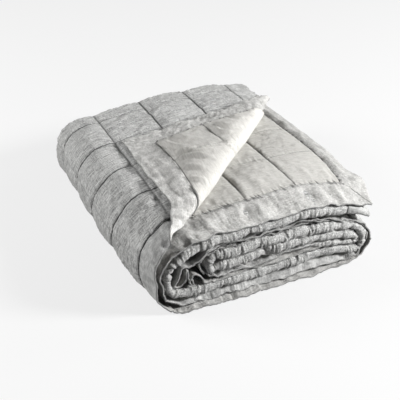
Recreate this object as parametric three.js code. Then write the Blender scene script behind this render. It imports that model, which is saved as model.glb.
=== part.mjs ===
// Quilted linen bedspread, folded in four across its width and then rolled flat,
// with the outer corner turned back to show the reverse. Millimetres, +Z up.

import * as THREE from 'three';

// Flat cloth: s runs across the width, t along the length from the outer end.
const FLAT_WIDTH = 2000;
const FLAT_LENGTH = 2000;
const BORDER_WIDTH = 50;
const SQUARE = 100;
const PIECE_GAP = 0.7;

// Thickness, measured from the middle of the cloth to one face.
const HALF_AT_SEAM = 1.2;
const HALF_AT_PUFF = 2.6;
const PUFF_RISE_OUTSIDE = 2.2;
const HALF_AT_REST = 3;
const HALF_BORDER = 1;

// Fold in four: layers a1, b1, b2, a2 from the outside in.
const FOLDED_DEPTH = 500;
const LAYER_PITCH = 8;
const FRONT_FOLD_INSET = 3;

// Outermost top pass of the roll, from its free end to the left fold.
const TOP_PASS = [
  { x: 440, z: 148 },
  { x: 407, z: 160 },
  { x: 365, z: 167 },
  { x: 307, z: 170 },
  { x: 240, z: 171 },
  { x: 187, z: 168 },
  { x: 130, z: 160 },
];
const FREE_END_X = 407;

// Folds of the flat roll in winding order. side -1 is left, crown lifts the pass after it.
const ROLL_FOLDS = [
  { side: -1, x: -5, zIn: 154, zOut: 3, reach: 80, square: 2.6, pitch: 10, crown: 0 },
  { side: 1, x: 424, zIn: 3, zOut: 119, reach: 66, square: 2.1, pitch: 7.3, crown: 8.5 },
  { side: -1, x: 73, zIn: 126, zOut: 38, reach: 44, square: 2.2, pitch: 7.8, crown: 0 },
  { side: 1, x: 386, zIn: 38, zOut: 88, reach: 30, square: 2, pitch: 7, crown: 0 },
];
const FOLD_STATIONS = 8;

// Innermost pass, ending inside the second left fold.
const CORE_PASS = [
  { x: 307, z: 93 },
  { x: 240, z: 95.5 },
  { x: 180, z: 95.5 },
  { x: 122, z: 94 },
];
const INNER_PITCH = 7.4;

// Fold line of the turned-back corner: along runs at 45 degrees from back to front,
// sum is t + y on the line, radius is that of the rolled edge.
const CORNER_FOLD = [
  { along: -260, sum: 470, radius: 18 },
  { along: -200, sum: 414, radius: 17 },
  { along: -120, sum: 378, radius: 15 },
  { along: -22, sum: 367, radius: 13.5 },
  { along: 67, sum: 368, radius: 12.5 },
  { along: 140, sum: 376, radius: 10 },
  { along: 185, sum: 383, radius: 7 },
  { along: 215, sum: 395, radius: 5 },
  { along: 250, sum: 420, radius: 4 },
];
const FLAP_REST_HEIGHT = 11;
const FLAP_TAIL_FROM = 299;
const FLAP_TAIL_TO = 451;
const FLAP_SETTLE = 90;

// Unevenness of the folded stack.
const INNER_END_OVERHANG = 30;
const SKEW_OUTER = 28;
const SKEW_INNER = -8;
const LEAN_X = -13.8;
const FALL_TO_BACK = -0.1;
const BOW = -0.02;
const FRONT_SETTLE = 0.115;
const FRONT_SETTLE_LENGTH = 28;
const FRONT_PINCH = 10;
const CORNER_DROOP = 26;

// Facet sizes.
const FOLD_FACET_ANGLE = 0.55;
const VISIBLE_CELL = 25;
const CORNER_CELL = 13;

function smoothStep(value) {
  const v = Math.min(Math.max(value, 0), 1);
  return v * v * (3 - 2 * v);
}

function superPower(value, square) {
  return Math.sign(value) * Math.pow(Math.abs(value), 2 / square);
}

// Stations of the outer layer's middle line in x and z, with the layer pitch in y.
function rollStations() {
  const stations = TOP_PASS.map((p) => new THREE.Vector3(p.x, LAYER_PITCH, p.z));
  ROLL_FOLDS.forEach((fold, index) => {
    const middle = (fold.zIn + fold.zOut) / 2;
    const half = (fold.zIn - fold.zOut) / 2;
    for (let i = 0; i <= FOLD_STATIONS; i += 1) {
      const angle = (Math.PI * i) / FOLD_STATIONS;
      const out = superPower(Math.sin(angle), fold.square);
      const x = fold.x - fold.side * fold.reach * (1 - out);
      const z = middle + half * superPower(Math.cos(angle), fold.square);
      stations.push(new THREE.Vector3(x, INNER_PITCH + (fold.pitch - INNER_PITCH) * out, z));
    }
    const next = ROLL_FOLDS[index + 1];
    if (next) {
      const from = stations[stations.length - 1].clone();
      const to = new THREE.Vector3(next.x - next.side * next.reach, INNER_PITCH, next.zIn);
      [0.35, 0.65].forEach((share) => {
        const station = from.clone().lerp(to, share);
        station.z += fold.crown;
        station.y = INNER_PITCH + 0.4;
        stations.push(station);
      });
    }
  });
  CORE_PASS.forEach((p) => stations.push(new THREE.Vector3(p.x, INNER_PITCH, p.z)));
  return stations;
}

// Arc-length table of the roll, with t = 0 at the free end of the outer layer.
function buildRoll() {
  const curve = new THREE.CatmullRomCurve3(rollStations(), false, 'centripetal');
  const points = curve.getPoints(2400);
  points.forEach((p) => {
    p.z = Math.max(p.z, HALF_AT_REST);
  });
  const rows = [];
  let length = 0;
  let start = 0;
  points.forEach((p, i) => {
    const a = points[Math.max(i - 3, 0)];
    const b = points[Math.min(i + 3, points.length - 1)];
    const tangent = new THREE.Vector2(b.x - a.x, b.z - a.z).normalize();
    if (i > 0) {
      length += Math.hypot(p.x - points[i - 1].x, p.z - points[i - 1].z);
    }
    if (i < 400 && p.x >= FREE_END_X) {
      start = length;
    }
    rows.push({ t: length, x: p.x, z: p.z, pitch: p.y, tx: tangent.x, tz: tangent.y });
  });
  rows.forEach((row) => {
    row.t -= start;
  });
  return rows;
}

const ROLL = buildRoll();

function rollAt(t) {
  let low = 0;
  let high = ROLL.length - 1;
  while (high - low > 1) {
    const middle = (low + high) >> 1;
    if (ROLL[middle].t > t) {
      high = middle;
    } else {
      low = middle;
    }
  }
  const a = ROLL[low];
  const b = ROLL[high];
  const f = Math.min((t - a.t) / (b.t - a.t), 1);
  const mix = (key) => a[key] + (b[key] - a[key]) * f;
  const size = Math.hypot(mix('tx'), mix('tz'));
  return { x: mix('x'), z: mix('z'), pitch: mix('pitch'), tx: mix('tx') / size, tz: mix('tz') / size };
}

function turnAngle(t0, t1) {
  const a = rollAt(t0);
  const b = rollAt(t1);
  return Math.abs(Math.atan2(a.tx * b.tz - a.tz * b.tx, a.tx * b.tx + a.tz * b.tz));
}

// Cross-section of the fold in four: lengths of its straight layers and half-round folds.
const OUTER_FOLD_RADIUS = 1.5 * LAYER_PITCH;
const INNER_FOLD_RADIUS = 0.5 * LAYER_PITCH;
const BACK_Y = FOLDED_DEPTH - OUTER_FOLD_RADIUS;
const FRONT_Y = FRONT_FOLD_INSET + INNER_FOLD_RADIUS;
const SECTION_LENGTHS = [
  BACK_Y,
  Math.PI * OUTER_FOLD_RADIUS,
  BACK_Y - FRONT_Y,
  Math.PI * INNER_FOLD_RADIUS,
  BACK_Y - FRONT_Y,
  Math.PI * INNER_FOLD_RADIUS,
  BACK_Y,
];
const SECTION_TOTAL = SECTION_LENGTHS.reduce((sum, part) => sum + part, 0);
const SECTION_SCALE = FLAT_WIDTH / SECTION_TOTAL;
const SECTION_ENDS = [];
SECTION_LENGTHS.reduce((sum, part) => {
  SECTION_ENDS.push((sum + part) * SECTION_SCALE);
  return sum + part;
}, 0);

// Depth y and number of layers inward for a distance s across the flat cloth.
function foldInFour(s) {
  let index = SECTION_ENDS.findIndex((end) => s < end);
  if (index < 0) {
    index = SECTION_ENDS.length - 1;
  }
  const from = index > 0 ? SECTION_ENDS[index - 1] : 0;
  const run = (s - from) / SECTION_SCALE;
  const big = run / OUTER_FOLD_RADIUS;
  const small = run / INNER_FOLD_RADIUS;
  const forms = [
    () => ({ y: run, layer: 0 }),
    () => ({ y: BACK_Y + OUTER_FOLD_RADIUS * Math.sin(big), layer: 1.5 * (1 - Math.cos(big)) }),
    () => ({ y: BACK_Y - run, layer: 3 }),
    () => ({ y: FRONT_Y - INNER_FOLD_RADIUS * Math.sin(small), layer: 2.5 + 0.5 * Math.cos(small) }),
    () => ({ y: FRONT_Y + run, layer: 2 }),
    () => ({ y: BACK_Y + INNER_FOLD_RADIUS * Math.sin(small), layer: 1.5 + 0.5 * Math.cos(small) }),
    () => ({ y: BACK_Y - run, layer: 1 }),
  ];
  return forms[index]();
}

// Fold line of the corner as points in the cloth, with the unit direction along it.
function buildCornerFold() {
  const rows = CORNER_FOLD.map(
    (r) => new THREE.Vector3(r.sum / 2 + r.along, r.sum / 2 - r.along, r.radius),
  );
  const curve = new THREE.CatmullRomCurve3(rows, false, 'centripetal');
  const points = curve.getSpacedPoints(240);
  return points.map((p, i) => {
    const a = points[Math.max(i - 2, 0)];
    const b = points[Math.min(i + 2, points.length - 1)];
    const along = new THREE.Vector2(b.x - a.x, b.y - a.y).normalize();
    return { t: p.x, y: p.y, radius: p.z, at: along.x, ay: along.y };
  });
}

const CORNER = buildCornerFold();
const CORNER_STEP = Math.hypot(CORNER[121].t - CORNER[120].t, CORNER[121].y - CORNER[120].y);

function cornerRow(position) {
  const i = Math.min(Math.max(Math.floor(position), 0), CORNER.length - 2);
  const f = position - i;
  const mix = (key) => CORNER[i][key] + (CORNER[i + 1][key] - CORNER[i][key]) * f;
  const size = Math.hypot(mix('at'), mix('ay'));
  return {
    t: mix('t'),
    y: mix('y'),
    radius: Math.max(mix('radius'), 3),
    at: mix('at') / size,
    ay: mix('ay') / size,
    nt: mix('ay') / size,
    ny: -mix('at') / size,
  };
}

// Distance of a point of the outer layer from the fold line, positive towards the corner.
function cornerDistance(t, y) {
  let position = 0;
  let least = Infinity;
  CORNER.forEach((row, i) => {
    const d = (t - row.t) ** 2 + (y - row.y) ** 2;
    if (d < least) {
      least = d;
      position = i;
    }
  });
  let row = cornerRow(position);
  for (let i = 0; i < 12; i += 1) {
    const slip = ((t - row.t) * row.at + (y - row.y) * row.ay) / CORNER_STEP;
    position += 0.7 * Math.min(Math.max(slip, -2), 2);
    row = cornerRow(position);
  }
  const distance = (t - row.t) * row.nt + (y - row.y) * row.ny;
  return { row, distance };
}

// Turn the corner over its rolled edge: new place in the cloth and height above it.
function turnCorner(t, y) {
  const { row, distance } = cornerDistance(t, y);
  if (distance <= 0) {
    return { t, y, height: 0 };
  }
  const r = row.radius;
  const angle = Math.min(distance / r, Math.PI);
  const rest = Math.max(distance - Math.PI * r, 0);
  const offset = r * Math.sin(angle) - rest;
  const settle = Math.exp(-((rest / FLAP_SETTLE) ** 2));
  const height = rest > 0 ? FLAP_REST_HEIGHT + (2 * r - FLAP_REST_HEIGHT) * settle : r * (1 - Math.cos(angle));
  const footT = t - row.nt * distance;
  const footY = y - row.ny * distance;
  return { t: footT + row.nt * offset, y: footY + row.ny * offset, height };
}

function inCorner(s, t) {
  return s < 470 && t < 520;
}

// Middle of the cloth at (s, t) in the folded bedspread.
function place(s, t) {
  const { y: flatY, layer } = foldInFour(s);
  const turned = inCorner(s, t) ? turnCorner(t, flatY) : { t, y: flatY, height: 0 };
  const y = turned.y;
  const inner = smoothStep((s - FOLDED_DEPTH) / (2 * FOLDED_DEPTH));
  const fade = 1 - smoothStep((turned.t - 300) / 600);
  const skew = SKEW_OUTER * (1 - inner) + SKEW_INNER * inner;
  const along = turned.t - INNER_END_OVERHANG * inner + skew * (0.35 - y / FOLDED_DEPTH) * fade;
  const at = rollAt(along);
  const inward = layer * at.pitch - turned.height;
  let x = at.x - at.tz * inward;
  let z = at.z + at.tx * inward;
  const nearFront = smoothStep(1 - y / 170);
  const nearEnd = smoothStep(1 - (along + 30) / 170);
  z -= CORNER_DROOP * nearFront * nearEnd * smoothStep((s - 480) / 60);
  const front = Math.exp(-((Math.max(y, 0) / FRONT_SETTLE_LENGTH) ** 2));
  const depth = (y - FOLDED_DEPTH / 2) / (FOLDED_DEPTH / 2);
  x += FRONT_PINCH * front * smoothStep(1 - x / 220);
  x += LEAN_X * depth;
  const rise = (1 + FALL_TO_BACK * depth + BOW * depth * depth) * (1 - FRONT_SETTLE * front);
  z = HALF_AT_REST + (z - HALF_AT_REST) * rise;
  return new THREE.Vector3(x, y, z);
}

// Unit normal on the face side of the cloth.
function faceNormal(s, t) {
  const step = 0.6;
  const ds = place(s + step, t).sub(place(s - step, t));
  const dt = place(s, t + step).sub(place(s, t - step));
  return ds.cross(dt).normalize();
}

function alongRoll(s, t) {
  return t - INNER_END_OVERHANG * smoothStep((s - FOLDED_DEPTH) / (2 * FOLDED_DEPTH));
}

// The bottom pass of the outer layer rests on the ground and has no puffs below.
function onGround(s, t) {
  return s < SECTION_ENDS[0] && rollAt(alongRoll(s, t)).z < HALF_AT_REST + 0.5 && t < 1000;
}

function puff(distance) {
  const share = (distance - BORDER_WIDTH) / SQUARE;
  return Math.sqrt(Math.abs(Math.sin(Math.PI * share)));
}

// Half thickness of the quilted cloth on its face and on its reverse.
function quiltedHalf(s, t) {
  const nearFold = SECTION_ENDS.slice(0, 6).some((end) => Math.abs(s - end) < 14) ? 0.55 : 1;
  const swell = puff(s) * puff(t) * nearFold;
  const plain = HALF_AT_SEAM + (HALF_AT_PUFF - HALF_AT_SEAM) * swell;
  const turned = inCorner(s, t) && cornerDistance(t, foldInFour(s).y).distance > 0;
  const clear = smoothStep((rollAt(alongRoll(s, t)).z - 6) / 24);
  const outside = t < 640 && s < SECTION_ENDS[0] && !turned ? PUFF_RISE_OUTSIDE * swell * clear : 0;
  const shown = turned || (t < 420 && s > SECTION_ENDS[5] + 14) ? PUFF_RISE_OUTSIDE * swell : 0;
  if (onGround(s, t)) {
    return { face: HALF_AT_REST, reverse: plain };
  }
  return { face: plain + outside, reverse: plain + shown };
}

function borderHalf(s, t) {
  return { face: onGround(s, t) ? HALF_AT_REST : HALF_BORDER, reverse: HALF_BORDER };
}

// Largest facet allowed at a cell of the cloth, across and along.
function cellTooBig(cell) {
  const { s0, s1, t0, t1 } = cell;
  const sm = (s0 + s1) / 2;
  const tm = (t0 + t1) / 2;
  const wide = s1 - s0;
  const tall = t1 - t0;
  if (sm < SECTION_ENDS[0] && t0 < 480) {
    const { row, distance } = cornerDistance(tm, foldInFour(sm).y);
    const reach = (wide + tall) / 2.8;
    const bend = Math.PI * row.radius;
    if (distance > -reach && distance < bend + reach && Math.max(wide, tall) > CORNER_CELL) {
      return wide >= tall ? 's' : 't';
    }
  }
  if (s0 <= BORDER_WIDTH && t0 > FLAP_TAIL_FROM && t1 < FLAP_TAIL_TO && tall > CORNER_CELL) {
    return 't';
  }
  if (turnAngle(alongRoll(sm, t0), alongRoll(sm, t1)) > FOLD_FACET_ANGLE) {
    return 't';
  }
  const outer = sm < SECTION_ENDS[0] && t0 < 640;
  const shown = sm > SECTION_ENDS[5] && t0 < 420;
  if (outer || shown) {
    if (wide > VISIBLE_CELL * 1.6) {
      return 's';
    }
    if (tall > VISIBLE_CELL * 1.6) {
      return 't';
    }
  }
  return '';
}

function splitCells(cells, allowed) {
  const done = [];
  const open = [...cells];
  while (open.length) {
    const cell = open.pop();
    const asked = cellTooBig(cell);
    const way = allowed.includes(asked) ? asked : '';
    if (way === 's') {
      const middle = (cell.s0 + cell.s1) / 2;
      open.push({ ...cell, s1: middle }, { ...cell, s0: middle });
    } else if (way === 't') {
      const middle = (cell.t0 + cell.t1) / 2;
      open.push({ ...cell, t1: middle }, { ...cell, t0: middle });
    } else {
      done.push(cell);
    }
  }
  return done;
}

function gridCells(sLines, tLines, allowed) {
  const cells = [];
  for (let i = 0; i + 1 < sLines.length; i += 1) {
    for (let j = 0; j + 1 < tLines.length; j += 1) {
      cells.push({ s0: sLines[i], s1: sLines[i + 1], t0: tLines[j], t1: tLines[j + 1] });
    }
  }
  return splitCells(cells, allowed);
}

function addTo(map, key, value) {
  if (!map.has(key)) {
    map.set(key, new Set());
  }
  map.get(key).add(value);
}

// Closed solid of a piece of the cloth: two faces over the same cells and a rim.
function clothSolid(name, cells, warp, half) {
  const onS = new Map();
  const onT = new Map();
  cells.forEach((c) => {
    [c.s0, c.s1].forEach((s) => [c.t0, c.t1].forEach((t) => {
      addTo(onS, s, t);
      addTo(onT, t, s);
    }));
  });
  const sorted = (map) => new Map([...map].map(([k, set]) => [k, [...set].sort((a, b) => a - b)]));
  const alongS = sorted(onS);
  const alongT = sorted(onT);
  const index = new Map();
  const spots = [];
  const vertex = (s, t) => {
    const key = `${s}|${t}`;
    if (!index.has(key)) {
      index.set(key, spots.length);
      spots.push([s, t]);
    }
    return index.get(key);
  };
  const triangles = [];
  cells.forEach((c) => {
    const between = (list, a, b) => list.filter((v) => v > a && v < b);
    const loop = [];
    loop.push(vertex(c.s0, c.t0));
    between(alongT.get(c.t0), c.s0, c.s1).forEach((s) => loop.push(vertex(s, c.t0)));
    loop.push(vertex(c.s1, c.t0));
    between(alongS.get(c.s1), c.t0, c.t1).forEach((t) => loop.push(vertex(c.s1, t)));
    loop.push(vertex(c.s1, c.t1));
    between(alongT.get(c.t1), c.s0, c.s1).reverse().forEach((s) => loop.push(vertex(s, c.t1)));
    loop.push(vertex(c.s0, c.t1));
    between(alongS.get(c.s0), c.t0, c.t1).reverse().forEach((t) => loop.push(vertex(c.s0, t)));
    const wholeSquare = c.s1 - c.s0 > SQUARE / 2 && c.t1 - c.t0 > SQUARE / 2;
    if (loop.length === 4 && !wholeSquare) {
      triangles.push([loop[0], loop[1], loop[3]], [loop[1], loop[2], loop[3]]);
    } else {
      const centre = vertex((c.s0 + c.s1) / 2, (c.t0 + c.t1) / 2);
      loop.forEach((v, i) => triangles.push([v, loop[(i + 1) % loop.length], centre]));
    }
  });
  const count = spots.length;
  const positions = new Float32Array(count * 6);
  spots.forEach(([u, v], i) => {
    const [s, t] = warp(u, v);
    const middle = place(s, t);
    const normal = faceNormal(s, t);
    const size = half(s, t);
    const face = middle.clone().addScaledVector(normal, size.face);
    const reverse = middle.clone().addScaledVector(normal, -size.reverse);
    face.toArray(positions, i * 3);
    reverse.toArray(positions, (count + i) * 3);
  });
  const indices = [];
  const edges = new Map();
  triangles.forEach(([a, b, c]) => {
    indices.push(a, b, c, count + a, count + c, count + b);
    [[a, b], [b, c], [c, a]].forEach(([p, q]) => {
      if (edges.has(`${q}|${p}`)) {
        edges.delete(`${q}|${p}`);
      } else {
        edges.set(`${p}|${q}`, [p, q]);
      }
    });
  });
  edges.forEach(([p, q]) => {
    indices.push(q, p, count + p, q, count + p, count + q);
  });
  const geometry = new THREE.BufferGeometry();
  geometry.setAttribute('position', new THREE.BufferAttribute(positions, 3));
  geometry.setIndex(indices);
  const mesh = new THREE.Mesh(geometry, new THREE.MeshStandardMaterial({ color: 0xb9b9b7, roughness: 0.95 }));
  mesh.name = name;
  return mesh;
}

// Lines across the width: quilting seams, and facets of the three folds.
function linesAcross(from, to) {
  const lines = new Set([from, to]);
  for (let s = BORDER_WIDTH; s < FLAT_WIDTH; s += SQUARE) {
    lines.add(s);
  }
  const folds = [
    { start: 0, facets: 4 },
    { start: 2, facets: 3 },
    { start: 4, facets: 3 },
  ];
  folds.forEach((fold) => {
    const a = SECTION_ENDS[fold.start];
    const b = SECTION_ENDS[fold.start + 1];
    for (let i = 0; i <= fold.facets; i += 1) {
      lines.add(a + ((b - a) * i) / fold.facets);
    }
  });
  return [...lines].filter((s) => s >= from && s <= to).sort((a, b) => a - b);
}

function linesAlong(from, to) {
  const lines = new Set([from, to]);
  for (let t = BORDER_WIDTH; t < FLAT_LENGTH; t += SQUARE) {
    lines.add(t);
  }
  return [...lines].filter((t) => t >= from && t <= to).sort((a, b) => a - b);
}

// Places of the panel's corners along one of its seams, shared by the border sewn to it.
function seamLines(cells, edge, along, value) {
  const lines = new Set();
  cells.forEach((c) => {
    if (c[`${edge}0`] === value || c[`${edge}1`] === value) {
      lines.add(c[`${along}0`]);
      lines.add(c[`${along}1`]);
    }
  });
  return [...lines].sort((a, b) => a - b);
}

// Pull the ends of a strip onto the mitre lines of its two corners.
function mitre(run, fromEdge, total) {
  const zone = BORDER_WIDTH + SQUARE;
  const inset = fromEdge + PIECE_GAP * 0.7;
  if (run < zone) {
    return inset + ((run - BORDER_WIDTH) * (zone - inset)) / SQUARE;
  }
  if (run > total - zone) {
    return total - inset - ((total - BORDER_WIDTH - run) * (zone - inset)) / SQUARE;
  }
  return run;
}

const BORDER_INNER = BORDER_WIDTH - PIECE_GAP;
const FAR_S = FLAT_WIDTH - BORDER_WIDTH;
const FAR_T = FLAT_LENGTH - BORDER_WIDTH;
const nearLines = [0, BORDER_INNER / 2, BORDER_INNER];
const farLines = (total) => [total - BORDER_INNER, total - BORDER_INNER / 2, total];

const panelCells = gridCells(linesAcross(BORDER_WIDTH, FAR_S), linesAlong(BORDER_WIDTH, FAR_T), 'st');
const frontLines = seamLines(panelCells, 's', 't', BORDER_WIDTH);
const innerFrontLines = seamLines(panelCells, 's', 't', FAR_S);
const endLines = seamLines(panelCells, 't', 's', BORDER_WIDTH);
const innerEndLines = seamLines(panelCells, 't', 's', FAR_T);

const pieces = [
  clothSolid('quilted_panel', panelCells, (s, t) => [s, t], quiltedHalf),
  clothSolid(
    'border_side_outer',
    gridCells(nearLines, frontLines, 's'),
    (s, t) => [s, mitre(t, s, FLAT_LENGTH)],
    borderHalf,
  ),
  clothSolid(
    'border_side_inner',
    gridCells(farLines(FLAT_WIDTH), innerFrontLines, ''),
    (s, t) => [s, mitre(t, FLAT_WIDTH - s, FLAT_LENGTH)],
    borderHalf,
  ),
  clothSolid(
    'border_end_outer',
    gridCells(endLines, nearLines, 't'),
    (s, t) => [mitre(s, t, FLAT_WIDTH), t],
    borderHalf,
  ),
  clothSolid(
    'border_end_inner',
    gridCells(innerEndLines, farLines(FLAT_LENGTH), ''),
    (s, t) => [mitre(s, FLAT_LENGTH - t, FLAT_WIDTH), t],
    borderHalf,
  ),
];

const bedspread = new THREE.Group();
bedspread.name = 'bedspread';
pieces.forEach((piece) => bedspread.add(piece));

// Origin on the ground, under the middle of the bedspread.
const box = new THREE.Box3().setFromObject(bedspread);
const middle = box.getCenter(new THREE.Vector3());
pieces.forEach((piece) => piece.geometry.translate(-middle.x, -middle.y, -box.min.z));

export default bedspread;
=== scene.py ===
"""Quilted linen bedspread, folded in four, rolled flat, one corner turned back."""
import math
import bpy
import numpy as np
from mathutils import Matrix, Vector


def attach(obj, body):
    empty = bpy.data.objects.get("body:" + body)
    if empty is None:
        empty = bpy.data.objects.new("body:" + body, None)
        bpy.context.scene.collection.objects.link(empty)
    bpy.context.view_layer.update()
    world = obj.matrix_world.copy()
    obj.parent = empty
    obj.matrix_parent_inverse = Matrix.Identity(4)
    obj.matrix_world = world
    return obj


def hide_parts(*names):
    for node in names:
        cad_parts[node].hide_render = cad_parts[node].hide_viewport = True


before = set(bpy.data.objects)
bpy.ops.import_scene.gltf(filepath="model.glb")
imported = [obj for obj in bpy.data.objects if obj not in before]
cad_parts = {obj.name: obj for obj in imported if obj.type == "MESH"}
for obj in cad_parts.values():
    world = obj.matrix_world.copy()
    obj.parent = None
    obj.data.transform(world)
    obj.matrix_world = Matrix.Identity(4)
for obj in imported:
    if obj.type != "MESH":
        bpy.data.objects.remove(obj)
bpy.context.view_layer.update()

MM = 0.001
UV_NAME = "OFBake"
CENTRE = (214.628, 251.263)          # middle of the folded pack, mm
FLAT = 2000.0                        # side of the flat cloth
BORDER = 50.0                        # width of its borders
SQUARE = 100.0                       # pitch of the quilting
DEPTH = 500.0                        # of the folded pack
PITCH = 8.0                          # between the layers of the fold in four
INNER_PITCH = 7.4                    # the same further in the roll
REST = 3.0                           # middle of the lowest cloth over the floor
FRONT_INSET = 3.0                    # of the front folds behind the edges
CORNER_WIDTH, CORNER_RUN = 470.0, 520.0     # the turned corner lies within these

# roll of the outer layer: top pass, folds and core, as in the solids
TOP_PASS = [(440, 148), (407, 160), (365, 167), (307, 170), (240, 171), (187, 168), (130, 160)]
# side, x, z in, z out, reach, squareness, pitch, crown of the next pass
ROLL_FOLDS = [(-1, -5, 154, 3, 80, 2.6, 10.0, 0.0),
              (1, 424, 3, 119, 66, 2.1, 7.3, 8.5),
              (-1, 73, 126, 38, 44, 2.2, 7.8, 0.0),
              (1, 386, 38, 88, 30, 2.0, 7.0, 0.0)]
CORE_PASS = [(307, 93), (240, 95.5), (180, 95.5), (122, 94)]
FREE_END_X = 407
# fold line of the turned corner: place along it, t + y on it, radius of its rolled edge
CORNER_FOLD = [(-260, 470, 18), (-200, 414, 17), (-120, 378, 15), (-22, 367, 13.5), (67, 368, 12.5),
               (140, 376, 10), (178, 391, 7), (196, 418, 4.5), (214, 444, 3.5), (236, 474, 3)]


def smooth(v):
    v = np.clip(v, 0.0, 1.0)
    return v * v * (3 - 2 * v)


def bump(u, centre, width):
    return np.exp(-((u - centre) / width) ** 2)


def hermite(rows, per, spacing_columns):
    """Centripetal curve through rows."""
    rows = np.asarray(rows, float)
    gap = np.linalg.norm(np.diff(rows[:, :spacing_columns], axis=0), axis=1) ** 0.5
    count = len(rows)
    slope = np.zeros_like(rows)
    step = np.diff(rows, axis=0) / gap[:, None]
    slope[0], slope[-1] = step[0], step[-1]
    for i in range(1, count - 1):
        slope[i] = (step[i] * gap[i - 1] + step[i - 1] * gap[i]) / (gap[i] + gap[i - 1])
    out = []
    u = np.linspace(0, 1, per, endpoint=False)[:, None]
    for i in range(count - 1):
        out.append((2 * u**3 - 3 * u**2 + 1) * rows[i] + (u**3 - 2 * u**2 + u) * gap[i] * slope[i]
                   + (-2 * u**3 + 3 * u**2) * rows[i + 1] + (u**3 - u**2) * gap[i] * slope[i + 1])
    return np.concatenate(out + [rows[-1:]])


def smooth_run(a, w):
    k = np.hanning(2 * w + 1)
    return np.convolve(np.pad(a, w, mode="edge"), k / k.sum(), "valid")


def build_roll():
    rows = [(x, z, PITCH) for x, z in TOP_PASS]
    for i, (side, x, z_in, z_out, reach, square, pitch, crown) in enumerate(ROLL_FOLDS):
        for a in np.linspace(0, math.pi, 9):
            out = abs(math.sin(a)) ** (2 / square)
            up = math.copysign(abs(math.cos(a)) ** (2 / square), math.cos(a))
            rows.append((x - side * reach * (1 - out), (z_in + z_out) / 2 + (z_in - z_out) / 2 * up,
                         INNER_PITCH + (pitch - INNER_PITCH) * out))
        if i + 1 < len(ROLL_FOLDS):
            n = ROLL_FOLDS[i + 1]
            a, b = np.array(rows[-1][:2]), np.array((n[1] - n[0] * n[4], n[2]))
            for share in (0.35, 0.65):
                p = a + (b - a) * share
                rows.append((p[0], p[1] + crown, INNER_PITCH + 0.4))
    rows += [(x, z, INNER_PITCH) for x, z in CORE_PASS]
    c = hermite(rows, 40, 2)
    c[:, 1] = np.maximum(c[:, 1], REST)
    t = np.r_[0, np.cumsum(np.linalg.norm(np.diff(c[:, :2], axis=0), axis=1))]
    # t is 0 at the free end, which lies on the first three spans
    t -= np.interp(-FREE_END_X, -c[:120, 0], t[:120])
    run = np.arange(t[0], t[-1], 1.0)
    x, z, g = (np.interp(run, t, c[:, k]) for k in range(3))
    ax, az = smooth_run(np.gradient(x), 3), smooth_run(np.gradient(z), 3)
    size = np.hypot(ax, az)
    return run, x, z, g, ax / size, az / size


RUN, ROLL_X, ROLL_Z, ROLL_G, ROLL_AX, ROLL_AZ = build_roll()


def build_corner():
    rows = [(c / 2 + w, c / 2 - w, r) for w, c, r in CORNER_FOLD]
    c = hermite(rows, 60, 2)
    d = np.r_[0, np.cumsum(np.linalg.norm(np.diff(c[:, :2], axis=0), axis=1))]
    u = np.linspace(0, d[-1], 241)
    t, y, r = (np.interp(u, d, c[:, k]) for k in range(3))
    at, ay = np.gradient(t), np.gradient(y)
    size = np.hypot(at, ay)
    return u[1], t, y, np.maximum(r, 3), at / size, ay / size


CORNER_STEP, CORNER_T, CORNER_Y, CORNER_R, CORNER_AT, CORNER_AY = build_corner()


CHUNK = 8000              # points measured at a time


def corner_distance(t, y):
    """Distance from the corner's fold line, positive towards the corner, and its foot."""
    pos = np.empty(len(t))
    for i in range(0, len(t), CHUNK):
        d = (t[i:i + CHUNK, None] - CORNER_T) ** 2 + (y[i:i + CHUNK, None] - CORNER_Y) ** 2
        pos[i:i + CHUNK] = d.argmin(1)
    index = np.arange(len(CORNER_T))
    at = lambda table: np.interp(pos, index, table)
    for _ in range(12):
        ft, fy, gt, gy = at(CORNER_T), at(CORNER_Y), at(CORNER_AT), at(CORNER_AY)
        slip = ((t - ft) * gt + (y - fy) * gy) / CORNER_STEP
        pos = np.clip(pos + 0.7 * np.clip(slip, -2, 2), 0, len(CORNER_T) - 1)
    ft, fy, gt, gy = at(CORNER_T), at(CORNER_Y), at(CORNER_AT), at(CORNER_AY)
    size = np.hypot(gt, gy)
    nt, ny = gy / size, -gt / size
    distance = (t - ft) * nt + (y - fy) * ny
    return distance, nt, ny, at(CORNER_R)


# fold in four
R_BACK, R_IN = 1.5 * PITCH, 0.5 * PITCH
Y_BACK, Y_FRONT = DEPTH - R_BACK, FRONT_INSET + R_IN
PARTS = [Y_BACK, math.pi * R_BACK, Y_BACK - Y_FRONT, math.pi * R_IN, Y_BACK - Y_FRONT, math.pi * R_IN, Y_BACK]
PART_SCALE = FLAT / sum(PARTS)
ENDS = np.cumsum(PARTS) * PART_SCALE
FRONT_FOLD = (ENDS[2] + ENDS[3]) / 2
BACK_FOLD = (ENDS[0] + ENDS[1]) / 2
INNER_FOLD = (ENDS[4] + ENDS[5]) / 2


def fold_in_four(s):
    b = np.r_[0, np.cumsum(PARTS)]
    u = s / PART_SCALE
    k = [u < b[i] for i in range(1, 7)]
    y = np.select(k, [u, Y_BACK + R_BACK * np.sin((u - b[1]) / R_BACK), Y_BACK - (u - b[2]),
                      Y_FRONT - R_IN * np.sin((u - b[3]) / R_IN), Y_FRONT + (u - b[4]),
                      Y_BACK + R_IN * np.sin((u - b[5]) / R_IN)], Y_BACK - (u - b[6]))
    m = np.select(k, [0 * u, 1.5 * (1 - np.cos((u - b[1]) / R_BACK)), 0 * u + 3,
                      2.5 + 0.5 * np.cos((u - b[3]) / R_IN), 0 * u + 2,
                      1.5 + 0.5 * np.cos((u - b[5]) / R_IN)], 0 * u + 1.0)
    return y, m


TURN = 6.2832             # of the seeded phases


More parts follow.
